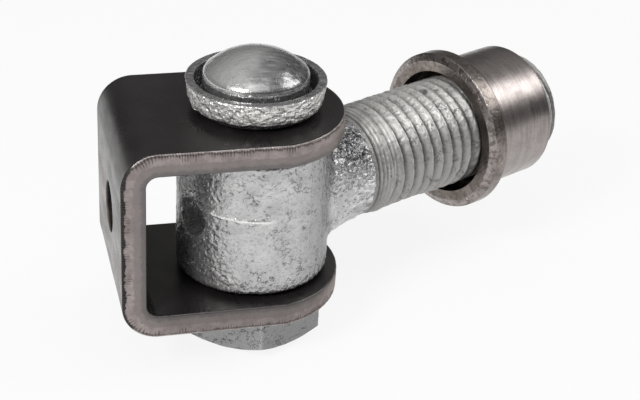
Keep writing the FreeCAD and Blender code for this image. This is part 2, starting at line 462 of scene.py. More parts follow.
def hole_band(centre, radius):
    """The wall of a hole, from the outer face to the inner one, as edge_band gives it."""
    arris = 0.3 * mm
    section = rounded([
        (hole_margin, 0, 0), (0, 0, arris), (0, plate, arris), (hole_margin, plate, 0),
    ], 0.3 * mm, closed=False)
    turn = full_circle(round(2 * math.pi * radius / (0.5 * mm)))
    radii = radius + section[:, :1]
    flat = np.stack([centre + radii * np.cos(turn), -radii * np.sin(turn)], -1)
    return flat, np.repeat(section[:, 1], len(turn)), {}


def face_points():
    """A fine grid inside the outline and outside the holes."""
    along = np.arange(-end_centre - ear_end_radius, end_centre + ear_end_radius, face_step)
    across = np.arange(-half_width, half_width, face_step)
    u, v = (a.ravel() for a in np.meshgrid(along, across))
    room = room_inside(u, v) - edge_margin
    for centre, radius in plate_holes:
        room = np.minimum(room, np.hypot(u - centre, v) - radius - hole_margin)
    return np.stack([u, v], -1)[room > 0.4 * mm]


def face_triangles(loops, inner):
    """Triangles between a face's border loops and its inner points, in that order."""
    edges, first = [], 0
    for loop in loops:
        edges += [(first + i, first + (i + 1) % len(loop)) for i in range(len(loop))]
        first += len(loop)
    points = np.vstack([*loops, inner])
    result = geometry.delaunay_2d_cdt([Vector(p) / mm for p in points], edges, [], 0, 1e-6)
    triangles = np.array(result[2])
    middle = points[triangles].mean(1)
    spans = points[triangles] - points[np.roll(triangles, 1, axis=1)]
    keep = room_inside(*middle.T) > 0.98 * edge_margin
    keep &= np.linalg.norm(spans, axis=2).max(1) < 4 * face_step
    for centre, radius in plate_holes:
        away = np.hypot(middle[:, 0] - centre, middle[:, 1])
        keep &= away > radius + hole_margin - 0.01 * mm
    return triangles[keep]


def make_bracket():
    bands = [edge_band()] + [hole_band(*hole) for hole in plate_holes]
    blocks, faces, starts, count = [], [], [], 0
    for flat, depth, marks in bands:
        rows, around = flat.shape[:2]
        faces += ring_faces(rows, around, closed=False, start=count)
        starts.append((count, count + (rows - 1) * around))
        blocks.append((flat.reshape(-1, 2), depth, marks))
        count += depth.size
    inner = face_points()
    for side in (0, 1):
        loops = [flat[-side] for flat, _, _ in bands]
        ids = [start[side] + np.arange(len(loop)) for start, loop in zip(starts, loops)]
        ids = np.concatenate([*ids, count + np.arange(len(inner))])
        triangles = ids[face_triangles(loops, inner)]
        faces += (triangles if side else triangles[:, ::-1]).tolist()
        places = np.column_stack([inner, np.zeros(len(inner))])
        dent = 0.02 * mm * (1 + noise(places, 6 * mm, 21 + side))
        blocks.append((inner, plate - dent if side else dent, {}))
        count += len(inner)
    vertices = np.vstack([fold(*flat.T, depth) for flat, depth, _ in blocks])
    marks = {
        name: np.concatenate([np.zeros(len(depth)) + own.get(name, 0) for _, depth, own in blocks])
        for name in ("cut", "dark", "shine")
    }
    marks["share"] = np.concatenate([depth for _, depth, _ in blocks]) / plate
    marks["web_reflection"] = painted_web_reflection(vertices)
    return make_piece("bracket_plate", vertices, faces, Matrix.Identity(4), "bracket",
                      ["bracket"], marks)


# Galvanised pieces on the pin

def zinc_relief(points, coarse, fine, seed):
    """How far a galvanised skin lies below its highest lumps."""
    return coarse * hollows(points, 2.4 * mm, seed) + fine * hollows(points, 0.8 * mm, seed + 1)


def make_hinge_pin():
    rise = crown - head_rim
    dome_radius = (head_radius ** 2 + rise ** 2) / (2 * rise)
    steps = np.linspace(head_radius * 0.985, 0.2 * mm, 64)
    dome = [(r, crown - dome_radius + math.sqrt(dome_radius ** 2 - r * r)) for r in steps]
    stem = rounded([
        (0.2 * mm, pin_tail, 0), (pin_radius - pin_end_chamfer, pin_tail, 0.3 * mm),
        (pin_radius, pin_tail + pin_end_chamfer, 0.3 * mm), (pin_radius, head_seat, 0),
    ], 1.2 * mm, closed=False)
    head = rounded([
        (pin_radius, head_seat, 0), (head_radius, head_seat, 0.5 * mm),
        (head_radius, head_rim - 0.25 * mm, head_edge_radius), (*dome[2], 0),
    ], 0.4 * mm, closed=False)
    outline = np.vstack([stem, head[1:], dome[3:]])

    def relief(points):
        on_dome = ramp(points[:, 2], head_rim, head_rim + 1.5 * mm)
        rough = zinc_relief(points * (0.5, 1, 1), 0.035 * mm, 0.01 * mm, 31)
        smooth = zinc_relief(points * (0.3, 1, 1), 0.03 * mm, 0.07 * mm, 33)
        return rough * (1 - on_dome) + smooth * on_dome

    vertices, faces = turned(outline, 280, relief, closed=False)
    x, y, z = vertices.T
    # Painted light on the dome: painted shade towards its front and right, where the lamps' highlights fall,
    # broken by lighter painted streaks; the rest of the dome top is painted lighter as a painted highlight. The
    # head's side wall is painted dark as shade by the recess.
    top = ramp(z, head_rim - 1.4 * mm, head_rim - 0.6 * mm)
    side = ramp(z, head_rim - 1.6 * mm, head_rim - 3.6 * mm) * (z > head_seat)
    forward = ramp((0.75 * x - 0.66 * y) / head_radius, 0.1, 0.7)
    streaks = noise(vertices * (0.25, 1, 1), 0.6 * mm, 35)
    dome_painted_shade = 0.4 + 0.95 * forward * (1 - 0.7 * streaks)
    marks = {"polish_and_highlight": np.maximum(top, 0.9 * side), "shade": dome_painted_shade * top + 0.9 * side}
    return make_piece("hinge_pin_body", vertices, faces, on_pin, "bracket", ["hinge_pin"],
                      marks)


def make_cup_ring():
    outline = rounded([
        (ear_hole_radius, ear_top, 0.3 * mm), (cup_foot_radius, ear_top, 0.3 * mm),
        (cup_radius - cup_draw, ear_top + cup_foot_height, 0.45 * mm),
        (cup_radius, cup_top, 0.55 * mm), (cup_recess_radius, cup_top, 0.45 * mm),
        (cup_recess_radius - cup_draw, head_seat, 0.5 * mm), (ear_hole_radius, head_seat, 0.3 * mm),
    ], 0.24 * mm)

    def relief(points):
        x, y, z = points.T
        outer = ramp(np.hypot(x, y), cup_recess_radius + 0.1 * mm, cup_recess_radius + 0.8 * mm)
        outer = outer * ramp(z, cup_top - 0.05 * mm, cup_top - 0.95 * mm)
        low = ramp(z, ear_top + 3.6 * mm, ear_top + 1.2 * mm)
        streaks = hollows(points * (0.4, 0.4, 1.3), 1.3 * mm, 41)
        lumps = hollows(points, 1.5 * mm, 44)
        grains = hollows(points, 0.65 * mm, 42)
        drips = np.clip(0.5 - 0.9 * noise(points * (1, 1, 0.1), 2.1 * mm, 43), 0, 1)
        rough = 0.14 * streaks + 0.2 * lumps + 0.1 * grains + 0.65 * drips * low
        return mm * (0.03 + (0.07 * lumps + 0.05 * grains) * (1 - outer) + rough * outer)

    vertices, faces = turned(outline, 440, relief)
    x, y, z = vertices.T
    radius = np.hypot(x, y)
    wall = ramp(radius, cup_recess_radius + 0.5 * mm, cup_recess_radius + 1.5 * mm)
    wall = wall * ramp(z, cup_top - 0.15 * mm, cup_top - 0.75 * mm)
    recess = ramp(z, cup_top - 0.3 * mm, cup_top - 2.3 * mm) * (radius < cup_recess_radius + 0.2 * mm)
    rim = (1 - wall) * (1 - recess)
    # Painted shade on the flat rim and more in the recess; the bright spots on the wall are painted glints. Pale
    # is paler zinc on the wall and a little on the rim.
    spots = np.clip(3 * noise(vertices, 1.1 * mm, 45) - 0.8, 0, 0.8)
    marks = {
        "polish_and_highlight": (spots * wall + 0.7 * (1 - wall)) * (1 - 0.6 * rim),
        "crust": wall + 0.4 * rim,
        "pale": wall + 0.25 * rim,
        "shade": 0.85 * (1 - wall) + 0.5 * recess + 0.4 * rim,
    }
    return make_piece("cup_ring_body", vertices, faces, on_pin, "bracket", ["cup_ring"],
                      marks)


def make_pin_nut():
    corner = nut_flats_radius / math.cos(math.pi / 6)
    bearing = nut_flats_radius * nut_bearing_share
    cone = (corner - bearing) * math.tan(math.pi / 6)
    nut_top = -ear_top
    outline = rounded([
        (nut_bore_radius, nut_bottom, 0.3 * mm), (bearing, nut_bottom, 0.5 * mm),
        (corner, nut_bottom + cone, 0.3 * mm), (corner, nut_top - cone, 0.3 * mm),
        (bearing, nut_top, 0.5 * mm), (nut_bore_radius, nut_top, 0.3 * mm),
    ], 0.42 * mm)

    def hexagon(radius, angles):
        """The turned outline cut by the six flats, with softly rounded corners."""
        turn = (angles - nut_corner_angle) % (math.pi / 3) - math.pi / 6
        rounding = 0.15 * mm
        both = np.stack([radius, np.broadcast_to(nut_flats_radius / np.cos(turn), radius.shape)])
        near = -rounding * np.log(np.exp(-both / rounding).sum(0))
        return np.where(radius > nut_bore_radius + 0.5 * mm, np.minimum(near, radius), radius)

    def relief(points):
        spots = pits(points, 2.6 * mm, 53, 0.12)
        return zinc_relief(points, 0.1 * mm, 0.05 * mm, 51) + 0.35 * mm * spots

    vertices, faces = turned(outline, 360, relief, radius_at=hexagon)
    # Painted shade: the nut is painted darker all over as shade under the plate, and its right flat darker still;
    # a painted highlight runs down the corner between the two flats.
    azimuth = np.degrees(np.arctan2(vertices[:, 1], vertices[:, 0]) - nut_corner_angle)
    from_corner = (azimuth + 180) % 360 - 180
    line = bell(from_corner, 0, 1.1)
    right_flat = ramp(from_corner, 0, 3) * (from_corner < 60)
    marks = {"shade": 1.15 + 0.25 * right_flat - 0.4 * line, "polish_and_highlight": 0.4 * line}
    return make_piece("pin_nut_body", vertices, faces, on_pin, "bracket", ["pin_nut"],
                      marks)


# Eye bolt, in the shank's axes: Z along the shank, Y up along the pin

def smooth_union(a, b, width):
    share = np.clip(0.5 + 0.5 * (b - a) / width, 0, 1)
    return b + (a - b) * share - width * share * (1 - share)


def smooth_cut(a, b, width):
    """What is left of a outside b, with an edge rounded over width."""
    return -smooth_union(-a, b, width)


def degrees_from_hole(points):
    """The angle round the pin from the rear hole, positive towards the camera's side."""
    return np.degrees(np.arctan2(-points[:, 0], -points[:, 2]))


def die_seam(points):
    """The ridge that the forging dies left on the barrel, from the rear hole round to the front."""
    turn = degrees_from_hole(points)
    level = 3.6 * mm - 0.6 * mm * ramp(turn, 20, 64)
    level = level + 0.12 * mm * noise(points * (1, 0, 1), 1.6 * mm, 64)
    run = ramp(turn, 12, 15) * ramp(turn, 72, 60) * (points[:, 2] < 0.75 * barrel_radius)
    return bell(points[:, 1], level, 0.46 * mm) * run


def forging_relief(points):
    """Lumps, streaks and pits of the galvanised forging, as a depth below its outline."""
    x, y, z = points.T
    turn = degrees_from_hole(points)
    neck = ramp(z, barrel_radius, barrel_radius + 1.5 * mm)
    skin = 0.12 * hollows(points * (1, 0.35, 1), 2.2 * mm, 61) + 0.16 * hollows(points, 0.9 * mm, 62)
    skin = skin + 0.3 * pits(points * (1, 1.6, 1), 2.9 * mm, 63, 0.2)
    coarse = hollows(points * (1, 1, 0.5), 1.2 * mm, 68)
    creases = pits(points * (1.6, 1.6, 0.6), 2.2 * mm, 69, 0.3)
    skin = skin + neck * (0.15 + 0.4 * ramp(y, 4 * mm, -2 * mm)) * (coarse + creases)
    streak = ramp(turn, 85, 100) * ramp(turn, 150, 140) * (1 - neck)
    skin = skin + 0.16 * streak * noise(points * (1, 0.06, 1), 0.9 * mm, 65)
    away = ramp(np.hypot(x, y), rear_hole_radius, rear_hole_radius + 1.5 * mm)
    seam = die_seam(points)
    return mm * ((0.2 + skin * np.where(z < 0, away, 1)) * (1 - seam) - 0.2 * seam)


def forging_field(points):
    """Below zero inside the forging, and about the distance to its skin outside."""
    x, y, z = points.T
    from_pin, from_shank = np.hypot(x, z), np.hypot(x, y)
    edge = 1.5 * mm
    across = from_pin - (barrel_radius - edge)
    upward = np.abs(y) - (barrel_half - edge)
    barrel = np.hypot(np.maximum(across, 0), np.maximum(upward, 0)) - edge
    barrel = barrel + np.minimum(np.maximum(across, upward), 0)
    start = barrel_radius / 2
    share = (z - start) / (neck_end - start)
    bow = 4 * (neck_middle_radius - (neck_root_radius + neck_end_radius) / 2) * share * (1 - share)
    neck_radius = neck_root_radius + (neck_end_radius - neck_root_radius) * share + bow
    neck = np.maximum(from_shank - neck_radius, np.maximum(z - shoulder, start - z))
    neck = np.maximum(neck, np.abs(y) - barrel_half)
    cone = (from_shank - (neck_end_radius + (neck_end - z) * 0.9)) * 0.75
    neck = np.maximum(neck, np.where(z > neck_end - 1 * mm, cone, neck))
    solid = smooth_union(barrel, neck, 1.6 * mm)
    near = np.abs(solid) < 1 * mm
    solid[near] += forging_relief(points[near])
    chamfer = np.clip(np.abs(y) - (barrel_half - 1 * mm), 0, None)
    solid = smooth_cut(solid, from_pin - bore_radius - chamfer, 0.3 * mm)
    return smooth_cut(solid, np.maximum(from_shank - rear_hole_radius, z), 0.35 * mm)


def make_forging():
    border = 1 * mm
    out = barrel_radius + border
    low = (-out, -barrel_half - border, -out)
    high = (out, barrel_half + border, shoulder + border)
    vertices, faces = surface_net(forging_field, low, high, 0.385 * mm)
    x, y, z = vertices.T
    turn = degrees_from_hole(vertices)
    behind_pin = z < 0
    from_patch = np.linalg.norm((vertices - patch_centre) / patch_size, axis=1)
    from_hole = np.hypot(x, y) - rear_hole_radius
    # Painted shade: a band round one side of the barrel, a strip of its back beside the rear hole and the inside
    # of the rear hole are painted darker. The lip round the hole gets a painted highlight, and the die seam is
    # brightened as rubbed metal.
    front = 1.25 * ramp(turn, 80, 120) * ramp(np.hypot(x, z), barrel_radius + 1.2 * mm, barrel_radius)
    behind = 0.9 * ramp(turn, -8, -33) * behind_pin
    in_hole = ramp(from_hole, 0.175 * mm, -0.175 * mm) * behind_pin
    lip = bell(from_hole, 0.45 * mm, 0.3 * mm) * behind_pin
    seam = die_seam(vertices)
    marks = {
        "tone": np.clip(1.8 * (1.5 - from_patch) - 0.5 * noise(vertices, 1.6 * mm, 66), 0, 1),
        "crust": ramp(z, barrel_radius, barrel_radius + 2 * mm) * ramp(y, 7 * mm, 2 * mm),
        "polish_and_highlight": np.max([seam, 0.9 * in_hole, 0.6 * lip], 0),
        "shade": np.max([front, behind, 0.95 * in_hole], 0) - 0.6 * seam,
        # Painted shade in the skin's hollows, darker where the relief is deeper
        "groove": 0.3 + 0.9 * forging_relief(vertices) / mm,
    }
    return make_piece("eye_bolt_forging", vertices, faces, on_shank, "eye_bolt", ["eye_bolt"],
                      marks)


def shank_end(around):
    """The rows of the shank's end chamfer and end face: radii and stations."""
    chamfer = [(thread_radius - shank_end_chamfer * k, shank_length - shank_end_chamfer * (1 - k))
               for k in (0.2, 0.5, 0.8, 1)]
    face = [(r, shank_length) for r in np.linspace(thread_radius - 1.7 * mm, 0.5 * mm, 18)]
    radius, station = (np.repeat(column[:, None], around, 1) for column in np.array(chamfer + face).T)
    points = about_z(radius, full_circle(around), station)
    sink = 0.12 * mm * hollows(points.reshape(-1, 3), 1.5 * mm, 74).reshape(radius.shape)
    radius[:len(chamfer)] -= sink[:len(chamfer)]
    return radius, station - sink


def make_threaded_shank():
    around = 300
    covered = sleeve_face + 3 * mm
    stations = np.concatenate([
        np.arange(neck_end - 3 * mm, covered, 0.24 * mm),
        np.arange(covered, shank_length - 1.2 * mm, 0.42 * mm),
    ])
    station, angle = np.meshgrid(stations, full_circle(around), indexing="ij")

    # The thread, which fades in behind the run-out and has worn crests on its lower side
    turn = (station - 51 * mm) / thread_pitch - (angle - math.radians(165)) / (2 * math.pi)
    phase = (turn + 0.5) % 1
    ridge = np.minimum(ramp(phase, 0.1, 0.74), ramp(phase, 1, 0.87))
    full = ramp(station, 33 * mm, 39 * mm)
    core = thread_radius - runout_depth * (1 - ramp(station, shoulder, thread_start))
    radius = core - thread_depth * (1 - ridge) * full
    under = np.clip(-np.sin(angle), 0, 1) ** 2 * ramp(station, 56 * mm, 48 * mm)
    radius = np.minimum(radius, thread_radius - shallow_crest * under * full)

    # Fine turning marks on the run-out, and the step at the shoulder
    fine = 0.5 + 0.5 * np.cos(2 * math.pi * (station - shoulder) / (1.15 * mm))
    fine_zone = ramp(station, neck_end + 0.5 * mm, neck_end + 1.5 * mm)
    fine_zone = fine_zone * ramp(station, 38.5 * mm, 36 * mm)
    radius = radius - 0.32 * mm * fine * fine_zone
    radius = radius - 0.35 * mm * bell(station, shoulder, 0.4 * mm)

    flat = about_z(radius, angle, station).reshape(-1, 3)
    skin = 0.14 * hollows(flat, 1.3 * mm, 71) + 0.12 * hollows(flat, 0.55 * mm, 72)
    skin = mm * (skin + 0.45 * pits(flat, 3.4 * mm, 73, 0.12))
    aside = (angle - math.radians(91)) * thread_radius
    nick = bell(station, 57.3 * mm, 0.7 * mm) * bell(aside, 0, 1.1 * mm)
    radius = radius - skin.reshape(radius.shape) - 0.5 * mm * nick
    radius = np.minimum(radius, thread_radius - 0.01 * mm)
    end_radius, end_station = shank_end(around)
    radius = np.vstack([radius, end_radius])
    vertices = about_z(radius, full_circle(around), np.vstack([station, end_station])).reshape(-1, 3)
    faces = ring_faces(len(radius), around, closed=False)
    vertices = fill_ends(vertices, faces, len(radius), around)

    # Painted shade in the thread's grooves and deeper in the nick, painted highlights along the crests on the
    # upper side, and painted light making the upper side paler.
    groove = np.append((thread_radius - radius) / mm, [0, 0])
    groove[:nick.size] += 1.5 * nick.ravel()
    crests = bell(phase, 0.82, 0.07) * full + 0.9 * (1 - fine) ** 3 * fine_zone
    broken = np.clip(0.7 + noise(flat, 1.8 * mm, 75), 0, 1).reshape(angle.shape)
    polish_and_highlight = np.zeros(len(vertices))
    polish_and_highlight[:crests.size] = (crests * broken * np.clip(np.sin(angle) + 0.4, 0, 1)).ravel()
    painted_top_light = 0.6 * np.clip(1.2 * vertices[:, 1] / thread_radius - 0.2, 0, 1)
    marks = {"groove": groove, "polish_and_highlight": polish_and_highlight, "matte": np.ones(len(vertices)), "pale": painted_top_light}
    return make_piece("eye_bolt_shank", vertices, faces, on_shank, "eye_bolt", [], marks)


def make_sleeve():
    back = sleeve_face + collar_thickness
    cone_start = sleeve_face + mouth_depth
    cone_end = cone_start + mouth_radius - sleeve_bore_radius
    outline = rounded([
        (mouth_radius, sleeve_face, 0.15 * mm),
        (collar_radius - collar_chamfer, sleeve_face, 0.2 * mm),
        (collar_radius, sleeve_face + collar_chamfer / 2, 0.3 * mm),
        (collar_radius, back, 0.25 * mm),
        (body_radius, back, 0.3 * mm),
        (body_radius, sleeve_end - body_end_chamfer, 0.5 * mm),
        (body_radius - body_end_chamfer, sleeve_end, 0.5 * mm),
        (sleeve_bore_radius, sleeve_end, 0.3 * mm),
        (sleeve_bore_radius, cone_end, 0.3 * mm),
        (mouth_radius, cone_start, 0.3 * mm),
    ], 0.28 * mm)

    def relief(points):
        x, y, z = points.T
        rings = np.stack([np.hypot(x, y), z, np.zeros(len(points))], -1)
        cut_marks = hollows(rings, 0.33 * mm, 81)
        waves = hollows(points * (1, 1, 0.6), 3.5 * mm, 82)
        nicks = pits(points, 4.5 * mm, 83, 0.07) * (z < back + 0.01 * mm)
        return mm * (0.02 * cut_marks + 0.03 * waves + 0.22 * nicks)

    vertices, faces = turned(outline, 384, relief)
    x, y, z = vertices.T
    radius = np.hypot(x, y)
    # The collar's rim and front face are darker, and inside the mouth and bore the dark is painted shade
    rim = (radius > collar_radius - 0.5 * mm) & (z > sleeve_face + 1.1 * mm)
    face = (radius < collar_radius - 2.1 * mm) & (z < sleeve_face + 0.3 * mm)
    inside = radius < mouth_radius + 0.2 * mm
    marks = {"darkened": np.maximum(0.7 * rim, face | inside), "collar": ramp(z, back, back - mm)}
    return make_piece("weld_sleeve_turned", vertices, faces, on_shank, "sleeve", ["weld_sleeve"],
                      marks)


# Materials

class Nodes:
    """Short calls for building a node tree. A value may be a number or another node's socket."""

    def __init__(self, tree):
        self.tree = tree

    def new(self, kind, **settings):
        node = self.tree.nodes.new(kind)
        for key, value in settings.items():
            setattr(node, key, value)
        return node

    def feed(self, socket, value):
        if isinstance(value, bpy.types.NodeSocket):
            self.tree.links.new(value, socket)
        else:
            socket.default_value = value

    def put(self, node, **values):
        """Feeds a node's inputs, named as in Blender with _ for a space."""
        for name, value in values.items():
            self.feed(node.inputs[name.replace("_", " ")], value)
        return node

    def math(self, operation, a, b):
        node = self.new("ShaderNodeMath", operation=operation)
        self.feed(node.inputs[0], a)
        self.feed(node.inputs[1], b)
        return node.outputs[0]

    def times(self, a, b):
        return self.math("MULTIPLY", a, b)

    def plus(self, a, b):
        return self.math("ADD", a, b)

    def minus(self, a, b):
        return self.math("SUBTRACT", a, b)


class Shader(Nodes):
    """A material whose patterns are drawn in object space, or in the axes given."""

    def __init__(self, name, axes=None):
        self.material = bpy.data.materials.new(name)
        self.material.use_nodes = True
        super().__init__(self.material.node_tree)
        self.surface = self.tree.nodes["Principled BSDF"]
        self.place = self.new("ShaderNodeTexCoord").outputs["Object"]
        if axes is not None:
            self.place = self.turned(axes, (1, 1, 1))

    def turned(self, axes, scale):
        """Places in other axes, with the pattern drawn out by scale along each."""
        node = self.new("ShaderNodeMapping", vector_type="TEXTURE")
        self.put(node, Vector=self.place, Location=axes.translation, Rotation=axes.to_euler(), Scale=scale)
        return node.outputs[0]

    def stretch(self, scale):
        return self.put(self.new("ShaderNodeMapping"), Vector=self.place, Scale=scale).outputs[0]

    def noise(self, size, detail=2.0, roughness=0.5, place=None):
        node = self.new("ShaderNodeTexNoise")
        self.put(node, Vector=place or self.place, Scale=1 / size, Detail=detail, Roughness=roughness)
        return node.outputs["Fac"]

    def cells(self, size):
        node = self.new("ShaderNodeTexVoronoi", feature="F1")
        return self.put(node, Vector=self.place, Scale=1 / size).outputs["Distance"]

    def mark(self, name):
        """What make_piece stored on the mesh under this name."""
        return self.new("ShaderNodeAttribute", attribute_name=name).outputs["Fac"]

    def spread(self, value, low, high, to_low=0.0, to_high=1.0):
        node = self.new("ShaderNodeMapRange", interpolation_type="SMOOTHSTEP")
        limits = {"From_Min": low, "From_Max": high, "To_Min": to_low, "To_Max": to_high}
        return self.put(node, Value=value, **limits).outputs[0]

    def blend(self, share, a, b):
        a, b = (c if isinstance(c, bpy.types.NodeSocket) else (*c, 1) for c in (a, b))
        node = self.new("ShaderNodeMix", data_type="RGBA")
        return self.put(node, Factor=share, A=a, B=b).outputs["Result"]

    def coats(self, colour, *layers):
        """Lays each (share, colour) over what is there so far."""
        for share, coat in layers:
            colour = self.blend(share, colour, coat)
        return colour

    def bump(self, height, distance, strength=1.0, **normal):
        node = self.new("ShaderNodeBump")
        self.put(node, Height=height, Distance=distance, Strength=strength, **normal)
        return node.outputs[0]


def plate_material():
    """Mill scale on the faces, bare metal on the sheared edge."""
    s = Shader("plate_steel")
    smear = s.noise(5 * mm, 4, 0.6, place=s.stretch((1, 0.35, 1)))
    scratch = s.noise(0.5 * mm, 1, 0.4, place=s.stretch((0.07, 1, 1)))
    grain = s.noise(0.35 * mm, 3, 0.6)
    share = s.plus(s.mark("share"), s.times(s.noise(1.3 * mm, 3, 0.65), 0.35))
    # Painted reflection on the lower part of the web's outer face, mottled
    web_reflection = s.times(s.mark("web_reflection"), s.spread(s.noise(3 * mm, 4, 0.65), 0.3, 0.6, 0.75, 1))
    cut = s.spread(s.plus(s.mark("cut"), s.times(s.noise(0.6 * mm, 2), 0.5)), 0.95, 1.15)
    scale = s.coats(
        (0.0115, 0.0098, 0.0102),
        (s.spread(s.noise(14 * mm, 3), 0.35, 0.7), (0.017, 0.015, 0.0155)),
        (s.spread(smear, 0.58, 0.8, 0, 0.6), (0.03, 0.027, 0.027)),
        (s.spread(scratch, 0.74, 0.8, 0, 0.2), (0.12, 0.105, 0.1)),
        # Painted reflection
        (web_reflection, (0.15, 0.13, 0.118)),
    )
    bare = s.coats(
        (0.29, 0.25, 0.242),
        (s.spread(s.noise(2.2 * mm, 3), 0.3, 0.7), (0.4, 0.35, 0.34)),
        (s.spread(share, 0.6, 0.7, 0, 0.85), (0.25, 0.222, 0.217)),
        (s.spread(share, 0.85, 1.05, 0, 0.85), (0.16, 0.153, 0.15)),
        (s.spread(grain, 0.5, 0.78, 0, 0.45), (0.14, 0.117, 0.112)),
        # Painted shade on the sheared edge
        (s.spread(s.mark("dark"), 0.1, 0.9, 0, 0.85), (0.055, 0.045, 0.043)),
        # Painted highlight along the outer arris
        (s.times(s.mark("shine"), 0.8), (0.62, 0.575, 0.555)),
    )
    rough = s.plus(s.spread(smear, 0.3, 0.75, 0.24, 0.4), s.times(cut, 0.12))
    fine = s.bump(s.noise(0.3 * mm, 3, 0.6), 0.008 * mm, 0.7)
    s.put(
        s.surface, Base_Color=s.blend(cut, scale, bare), Metallic=s.spread(cut, 0, 1, 0, 0.85),
        Roughness=rough, IOR=1.5, Specular_Tint=(1, 0.94, 0.88, 1),
        Normal=s.bump(s.times(grain, cut), 0.05 * mm, 0.8, Normal=fine),
    )
    return s.material


def zinc_material():
    """Galvanised skin. The polish mark smooths places and brightens them, as polish on the die seam and as painted
    highlights elsewhere; the shade mark paints shade, and tone marks dark, mottled ones.
    """
    s = Shader("zinc_steel")
    polish_and_highlight, tone, crust, pale, shade, matte = (
        s.mark(name) for name in ("polish_and_highlight", "tone", "crust", "pale", "shade", "matte"))
    plain, not_pale = s.minus(1.0, polish_and_highlight), s.minus(1.0, pale)
    grain = s.noise(0.8 * mm, 4, 0.7)
    vein = s.math("ABSOLUTE", s.minus(s.noise(2.6 * mm, 4, 0.62), 0.5), 0)
    crease = s.times(s.spread(vein, 0, 0.022, 1, 0), s.spread(s.noise(4 * mm, 2), 0.5, 0.62))
    hollow = s.times(s.spread(grain, 0.34, 0.54, 0.4, 0), plain)
    hollow = s.times(hollow, s.minus(1.0, s.times(crust, 0.6)))
    stain = s.spread(s.noise(1.6 * mm, 3, 0.6), 0.64, 0.74, 0, 0.55)
    wrinkled = s.times(crust, s.minus(1.0, tone))
    wrinkle = s.noise(1.0 * mm, 2, 0.5, place=s.turned(on_shank, (1, 1, 2.6)))
    # Painted highlight on the crests of the wrinkles, and painted shade in their hollows
    wrinkle_highlight = s.times(wrinkled, s.spread(wrinkle, 0.52, 0.62, 0, 0.75))
    wrinkle_shade = s.times(wrinkled, s.spread(wrinkle, 0.34, 0.42, 0.5, 0))
    # Beads on the mottled patch, raised in the bump and painted white as painted glints
    bead_and_glint = s.times(s.spread(s.cells(1.0 * mm), 0.1, 0.32, 0.9, 0), tone)
    colour = s.coats(
        (0.54, 0.535, 0.54),
        (s.spread(s.noise(6 * mm, 3), 0.3, 0.7), (0.68, 0.675, 0.675)),
        (s.times(matte, 0.8), (0.36, 0.35, 0.333)),
        # Paler zinc on the cup ring, and painted light on the thread's upper side
        (s.times(pale, 0.8), (1.0, 0.985, 0.95)),
        # Painted shade
        (s.times(shade, 0.6), (0.2, 0.2, 0.2)),
        (hollow, (0.25, 0.25, 0.255)),
        (s.times(stain, plain), (0.15, 0.145, 0.14)),
        (s.times(crease, 0.75), (0.1, 0.1, 0.1)),
        # Painted highlight on the wrinkles' crests, painted shade in their hollows
        (s.times(wrinkle_highlight, not_pale), (0.95, 0.95, 0.95)),
        (s.times(wrinkle_shade, not_pale), (0.16, 0.16, 0.16)),
        (s.times(tone, s.spread(grain, 0.46, 0.6, 1, 0.6)), (0.09, 0.09, 0.095)),
        # White beads as painted glints
        (bead_and_glint, (1, 1, 1)),
        # Painted shade in grooves and hollows
        (s.spread(s.mark("groove"), 0.5, 1.7, 0, 0.85), (0.14, 0.137, 0.135)),
        # Painted highlights, held back where painted shade is set; on the die seam, polish
        (s.times(polish_and_highlight, s.minus(0.9, shade)), (0.95, 0.945, 0.93)),
    )
    rough = s.minus(s.spread(grain, 0.3, 0.7, 0.22, 0.36), s.times(polish_and_highlight, 0.04))
    rough = s.minus(s.plus(rough, s.times(matte, 0.2)), s.times(tone, 0.06))
    height = s.plus(s.times(s.noise(1.3 * mm, 3, 0.45), 0.44), s.times(s.noise(0.34 * mm, 2, 0.6), 0.06))
    height = s.plus(height, s.times(s.cells(0.9 * mm), 0.1))
    height = s.minus(height, s.times(crease, 0.12))
    height = s.plus(height, s.times(s.times(wrinkle, wrinkled), 0.7))
    height = s.times(height, s.minus(1.0, s.times(polish_and_highlight, 0.87)))
    height = s.times(height, s.minus(1.0, s.times(matte, 0.4)))
    height = s.plus(height, s.times(bead_and_glint, 0.3))
    s.put(
        s.surface, Base_Color=colour, Metallic=s.spread(pale, 0, 1, 0.85, 0.55),
        Roughness=rough, Normal=s.bump(height, 1 * mm),
    )
    return s.material


